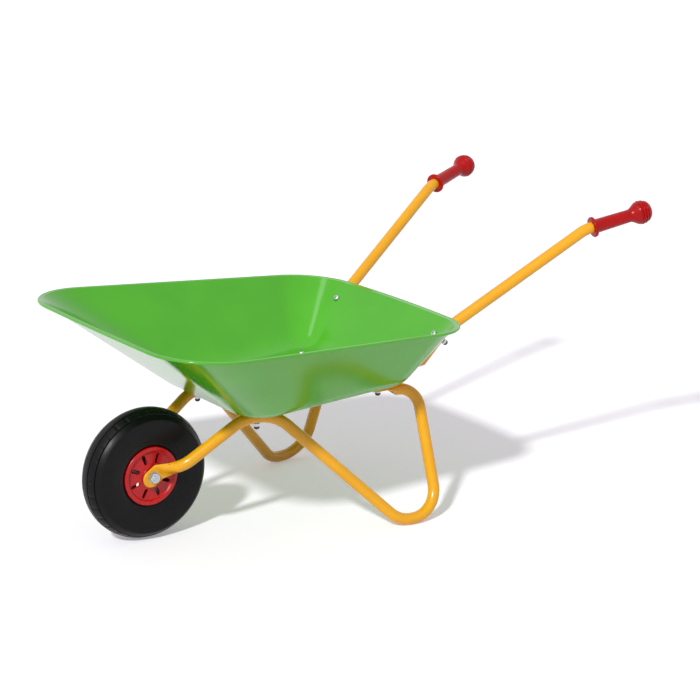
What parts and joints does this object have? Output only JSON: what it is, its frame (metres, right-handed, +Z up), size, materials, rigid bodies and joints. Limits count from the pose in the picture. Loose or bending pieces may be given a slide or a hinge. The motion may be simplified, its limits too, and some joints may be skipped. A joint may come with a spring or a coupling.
{
  "type": "child's wheelbarrow",
  "caption": "Child's wheelbarrow with a pressed steel tray, bent tube side frames, moulded grips and a front wheel that turns on its axle.",
  "frame": {"origin": "on the ground under the middle of the whole barrow's length and width", "axes": "+X forward towards the wheel, +Y to the left, +Z up"},
  "size_m": [0.7969, 0.4452, 0.4197],
  "materials": {
    "tray_paint": "gloss",
    "frame_paint": "gloss",
    "grip_plastic": "satin",
    "rim_plastic": "gloss",
    "tyre_rubber": "satin",
    "zinc": "zinc plated",
    "cap_plastic": "satin"
  },
  "bodies": {
    "barrow": {"axle_bolt": "zinc", "axle_nut": "zinc", "axle_spacers": "zinc", "axle_washers": "zinc", "front_nut_caps": "cap_plastic", "front_tray_bolts": "zinc", "front_tray_nuts": "zinc", "handle_bolts": "zinc", "handle_nut_caps": "cap_plastic", "handle_nuts": "zinc", "left_frame_tube": "frame_paint", "left_grip": "grip_plastic", "left_handle_tube": "frame_paint", "rear_nut_caps": "cap_plastic", "rear_tray_bolts": "zinc", "rear_tray_nuts": "zinc", "right_frame_tube": "frame_paint", "right_grip": "grip_plastic", "right_handle_tube": "frame_paint", "tray": "tray_paint"},
    "wheel": {"tyre": "tyre_rubber", "left_rim_half": "rim_plastic", "right_rim_half": "rim_plastic", "hub_bush": "zinc"}
  },
  "joints": [
    {"name": "wheel_spin", "type": "hinge", "parent": "barrow", "child": "wheel", "pos_m": [0.30719, 0, 0.09], "axis": [0, 1, 0], "continuous": true}
  ]
}
